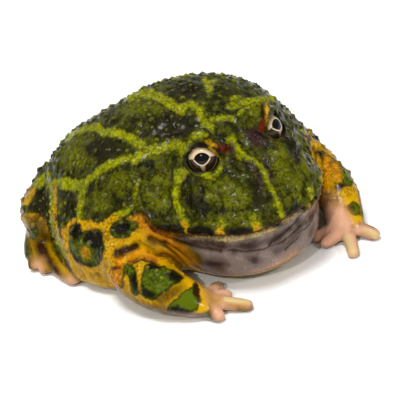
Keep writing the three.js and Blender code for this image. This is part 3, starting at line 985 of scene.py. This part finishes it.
# Depths in millimetres of the paints where neither side was seen
WILD = {
    "lime": np.where(sides > 0.5, 1.0 - cell_edges(NETWORK_SIZE) * 18 - 1.5 * wander, NONE),
    "dark": wander * 5 - 0.4,
    "leaf": -wander * 5 - 0.2,
    "gold": 3 * np.maximum(on_limbs, 1 - sides * 1.4) - 1.2,
    "bronze": np.where(on_limbs > 0.5, wander * 5 + 0.5, NONE),
    "ring": np.where(on_limbs > 0.5, noises(BLOTCH_SIZE, 2) * 5 - 0.8, NONE),
    "cream": CREAM_TOP - skin.at[:, 2] / CREAM_FADE,
    "tan": np.where(on_paws > 0.5, 2.5, NONE),
}
for name in PAINTS:
    if name != "moss":
        skin.keep(name, spread(painted(name), WILD.get(name, bare)))
skin.keep("wart", wart * warty)
skin.keep("mouth", lip_far)
skin.keep("lid", lid_far)
# how deep each point lies in a hollow, for the painted shade in the skin's creases
skin.keep("hollow", skin.hollows())
skin.keep("paw", on_paws)
skin.keep("smooth", np.maximum(smooth, BELLY_SMOOTH * (1 - above_belly)))


# Materials

class Shade:
    """A number that changes over a surface, made of shader nodes."""

    def __init__(self, finish, socket):
        self.finish, self.socket = finish, socket

    def math(self, operation, *others):
        values = {i: o.socket if isinstance(o, Shade) else o for i, o in enumerate(others)}
        made = self.finish.node("ShaderNodeMath", {"operation": operation}, values)
        return Shade(self.finish, made.outputs[0])

    def __add__(self, other):
        return self.math("ADD", self, other)

    def __sub__(self, other):
        return self.math("SUBTRACT", self, other)

    def __rsub__(self, other):
        return self.math("SUBTRACT", other, self)

    def __mul__(self, other):
        return self.math("MULTIPLY", self, other)

    def __truediv__(self, other):
        return self.math("DIVIDE", self, other)

    __radd__, __rmul__ = __add__, __mul__

    def abs(self):
        return self.math("ABSOLUTE", self)

    def power(self, exponent):
        return self.math("POWER", self, exponent)

    def most(self, other):
        return self.math("MAXIMUM", self, other)

    def step(self, low, high):
        """0 below low and 1 above high, with a soft way between."""
        settings = {"interpolation_type": "SMOOTHSTEP"}
        inputs = {"Value": self.socket, "From Min": low, "From Max": high}
        made = self.finish.node("ShaderNodeMapRange", settings, inputs)
        return Shade(self.finish, made.outputs[0])


class Finish:
    """A material, with its nodes added by type."""

    def __init__(self, name, **constants):
        self.material = bpy.data.materials.new(name)
        self.material.use_nodes = True
        self.tree = self.material.node_tree
        self.shader = self.tree.nodes["Principled BSDF"]
        for socket, value in constants.items():
            self.shader.inputs[socket.replace("_", " ")].default_value = value
        self.place = self.node("ShaderNodeTexCoord").outputs["Object"]

    def node(self, kind, settings=None, inputs=None):
        made = self.tree.nodes.new(kind)
        for name, value in (settings or {}).items():
            setattr(made, name, value)
        for name, value in (inputs or {}).items():
            if isinstance(value, Shade):
                value = value.socket
            if isinstance(value, bpy.types.NodeSocket):
                self.tree.links.new(value, made.inputs[name])
            else:
                made.inputs[name].default_value = value
        return made

    def attribute(self, name):
        return Shade(self, self.node("ShaderNodeAttribute", {"attribute_name": name}).outputs["Fac"])

    def noise(self, size, detail=3.0, place=None):
        inputs = {"Vector": place or self.place, "Scale": 1 / size, "Detail": detail}
        return Shade(self, self.node("ShaderNodeTexNoise", {}, inputs).outputs["Fac"])

    def cells(self, size):
        inputs = {"Vector": self.place, "Scale": 1 / size}
        return Shade(self, self.node("ShaderNodeTexVoronoi", {"feature": "F1"}, inputs).outputs["Distance"])

    def mix(self, share, below, above):
        inputs = {0: share, 6: below, 7: above}
        return self.node("ShaderNodeMix", {"data_type": "RGBA"}, inputs).outputs[2]

    def bump(self, height, distance, under=None):
        inputs = {"Height": height, "Distance": distance, "Strength": BUMP_STRENGTH}
        if under:
            inputs["Normal"] = under
        return self.node("ShaderNodeBump", {}, inputs).outputs[0]

    def feed(self, **links):
        for socket, value in links.items():
            value = value.socket if isinstance(value, Shade) else value
            self.tree.links.new(value, self.shader.inputs[socket.replace("_", " ")])


def rgba(hex_colour):
    return (*linear(hex_colour), 1)


SHADY_GREEN, GREEN = rgba("#26270a"), rgba("#464807")  # between the other paints
MOUTH_EDGE, MOUTH_LINE = rgba("#a8650f"), rgba("#2a1608")
LID_RIM, WART_TIP = rgba("#20140c"), rgba("#8c8f1e")
DIMMEST, BRIGHTEST = (0.33, 0.31, 0.24, 1), (1.22, 1.2, 1.1, 1)
COARSE, FINE = 2.4 * MM, 0.7 * MM
COARSE_WOBBLE, FINE_WOBBLE = 2.2, 1.2  # how the paints' edges wander, in millimetres
CLOUDS, WET_PATCHES = 2.6 * MM, 3.2 * MM
BUMPS, BUMP_HEIGHT, GRAINS, GRAIN_HEIGHT = 1.1 * MM, 0.45 * MM, 0.5 * MM, 0.1 * MM
BUMP_STRENGTH = 0.8


def skin_finish():
    f = Finish("wet frog skin", IOR=1.42, Specular_IOR_Level=0.05, Coat_Roughness=0.16, Coat_IOR=1.36)
    wobble = (f.noise(COARSE, 4.0) - 0.5) * COARSE_WOBBLE + (f.noise(FINE, 3.0) - 0.5) * FINE_WOBBLE
    shade = f.noise(CLOUDS, 5.0)
    grain = f.noise(FINE, 3.0)
    colour = f.mix(shade.step(0.38, 0.62), SHADY_GREEN, GREEN)
    for name, (hex_colour, soft, ragged) in PAINTS.items():
        field = f.attribute("ring") - MOSS_INSET if name == "moss" else f.attribute(name)
        mask = (field + wobble * ragged).step(-soft, soft)
        colour = f.mix(mask, colour, rgba(hex_colour))
    mouth = f.attribute("mouth")
    colour = f.mix((1 - mouth.step(0.3, 0.6)) * 0.9, colour, MOUTH_EDGE)
    colour = f.mix(1 - mouth.step(0.08, 0.25), colour, MOUTH_LINE)
    lid = f.attribute("lid") + wobble * 0.2
    colour = f.mix(1 - lid.step(0.8, 1.4), colour, LID_RIM)
    tip = f.attribute("wart").step(0.35, 0.9)
    colour = f.mix(tip * 0.45, colour, WART_TIP)
    paw, smooth = f.attribute("paw"), f.attribute("smooth")
    mottle_and_hollow_shade = grain.step(0.35, 0.65) * 0.5 + shade.step(0.3, 0.7) * 0.5
    # Random mottle, made darker where the skin lies in hollows and creases: painted shade
    mottle_and_hollow_shade = mottle_and_hollow_shade.most(paw).most(smooth * 0.6) - f.attribute("hollow").step(0.0, 0.16) * 0.7
    dim = f.mix(mottle_and_hollow_shade, DIMMEST, BRIGHTEST)
    multiply = {"data_type": "RGBA", "blend_type": "MULTIPLY"}
    colour = f.node("ShaderNodeMix", multiply, {0: 1.0, 6: colour, 7: dim}).outputs[2]
    firm = 1 - paw.most(smooth * 0.7) * 0.85
    normal = f.bump(f.noise(BUMPS, 3.0) * firm, BUMP_HEIGHT)
    normal = f.bump(f.cells(GRAINS) * firm, GRAIN_HEIGHT, normal)
    wet = f.noise(WET_PATCHES, 3.0).step(0.46, 0.6)
    f.feed(Base_Color=colour, Normal=normal, Roughness=0.1 + shade * 0.2, Coat_Weight=0.02 + wet * 0.36)
    return f.material


# Where each eye looks: degrees outwards from straight ahead, and upwards
LOOK = {"left": (26, 27), "right": (37, 21)}
IRIS, BROWN_THREADS, PALE_IRIS = rgba("#1c1209"), rgba("#3a2814"), rgba("#c9b08a")
WEDGE, PUPIL_EDGE, PUPIL = rgba("#a5866a"), rgba("#cdb896"), rgba("#030303")
GREY_RING, EYE_EDGE = rgba("#9a8f7c"), rgba("#1a120b")
THREADS = 0.35 * MM

# Millimetres from the pupil's middle

PUPIL_HALF, PUPIL_TOP, PUPIL_FOOT = 2.15, 1.6, 1.8
RING_FROM, RING_TO = (3.7, 3.85), (4.0, 4.15)
EDGE_FROM = (4.05, 4.3)


def eye_finish(side):
    """Horizontal pupil, pale above and brown below. Distances are in millimetres."""
    f = Finish(f"{side} eye", Roughness=0.08, IOR=1.38, Specular_IOR_Level=0.2, Coat_Weight=0.25,
               Coat_Roughness=0.01)
    x_sign = 1 if side == "left" else -1
    outwards, upwards = (radians(angle) for angle in LOOK[side])
    flat = cos(upwards)
    ahead = Vector((sin(outwards) * flat * x_sign, -cos(outwards) * flat, sin(upwards)))
    across = Vector((0, 0, 1)).cross(ahead).normalized()
    rise = ahead.cross(across)
    from_eye = {0: f.place, 1: EYES[side]}
    moved = f.node("ShaderNodeVectorMath", {"operation": "SUBTRACT"}, from_eye).outputs[0]

    def along(axis):
        dot = f.node("ShaderNodeVectorMath", {"operation": "DOT_PRODUCT"}, {0: moved, 1: axis / MM})
        return Shade(f, dot.outputs["Value"])

    x, z = along(across), along(rise)
    above_it, below_it = z.most(0), (z * -1).most(0)
    threads = f.noise(THREADS, 3.0) - 0.5
    from_middle = (x * x + z * z).power(0.5)
    colour = f.mix(threads * 0.6 + 0.5, IRIS, BROWN_THREADS)
    colour = f.mix((z + threads * 0.7).step(-0.1, 0.35), colour, PALE_IRIS)
    wedge = (0.85 - (x + 0.1).abs() + (z + 1.4) * 0.15).step(-0.1, 0.3) * (z * -1).step(1.5, 1.9)
    colour = f.mix(wedge * 0.9, colour, WEDGE)
    top, foot = (above_it / PUPIL_TOP).power(2), (below_it / PUPIL_FOOT).power(1.3)
    pupil = 1 - ((x / PUPIL_HALF).abs().power(1.7) + top + foot)
    colour = f.mix((pupil + 0.3).step(0.0, 0.08) * (z * -1).step(-0.1, 0.3), colour, PUPIL_EDGE)
    colour = f.mix(pupil.step(0.0, 0.06), colour, PUPIL)
    ring = from_middle.step(*RING_FROM) * (1 - from_middle.step(*RING_TO))
    colour = f.mix(ring * 0.6, colour, GREY_RING)
    colour = f.mix(from_middle.step(*EDGE_FROM), colour, EYE_EDGE)
    f.feed(Base_Color=colour)
    return f.material


def finished(name, mesh, material, nodes):
    piece = added(name, mesh)
    mesh.materials.clear()
    mesh.materials.append(material)
    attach(piece, "root")
    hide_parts(*nodes)
    return piece


def eyeball_mesh(side):
    bm = bmesh.new()
    bmesh.ops.create_uvsphere(bm, u_segments=64, v_segments=32, radius=EYE_RADIUS)
    bmesh.ops.translate(bm, verts=bm.verts, vec=EYES[side])
    mesh = mesh_of(bm, f"{side} eye")
    mesh.shade_smooth()
    return mesh


finished("skin", thinned(skin.mesh, SKIN_TRIANGLES), skin_finish(), FLESH)
for side in ("left", "right"):
    finished(f"{side}_eyeball", eyeball_mesh(side), eye_finish(side), [f"{side}_eye"])

# Floor and light

FLOOR_HALF, FLOOR_COLOUR = 3, (0.9, 0.9, 0.9, 1)
LAMP_SIZE = 0.014
LAMPS = [("Left lamp", (-0.5, -0.45, 0.55), 2.2), ("Right lamp", (0.15, -0.7, 0.5), 1.6)]
SOFT_TURN, SOFT_RISE, SOFT_ANGLE, SOFT_POWER = radians(-60), radians(80), radians(18), 2.4
SKY_COLOUR, SKY_POWER = (1, 1, 1, 1), 0.4


def add_floor():
    bm = bmesh.new()
    bmesh.ops.create_grid(bm, x_segments=1, y_segments=1, size=FLOOR_HALF)
    mesh = mesh_of(bm, "Floor")
    mesh.materials.append(Finish("pale floor", Base_Color=FLOOR_COLOUR, Roughness=0.6).material)
    floor = added("Floor", mesh)


def add_lamp(name, at, power):
    data = bpy.data.lights.new(name, "AREA")
    data.shape = "DISK"
    data.size = LAMP_SIZE
    data.energy = power
    light = added(name, data)
    light.location = at
    light.rotation_euler = (AIM - Vector(at)).to_track_quat("-Z", "Y").to_euler()


def add_soft_light():
    data = bpy.data.lights.new("Soft light", "SUN")
    data.angle = SOFT_ANGLE
    data.energy = SOFT_POWER
    light = added("Soft light", data)
    flat = cos(SOFT_RISE)
    towards = Vector((sin(SOFT_TURN) * flat, -cos(SOFT_TURN) * flat, sin(SOFT_RISE)))
    light.rotation_euler = towards.to_track_quat("Z", "Y").to_euler()


add_floor()
add_soft_light()
for name, at, power in LAMPS:
    add_lamp(name, at, power)
world = bpy.data.worlds.new("World")
bpy.context.scene.world = world
world.use_nodes = True
sky = world.node_tree.nodes["Background"].inputs
sky["Color"].default_value, sky["Strength"].default_value = SKY_COLOUR, SKY_POWER
bpy.context.scene.view_settings.view_transform = "Standard"
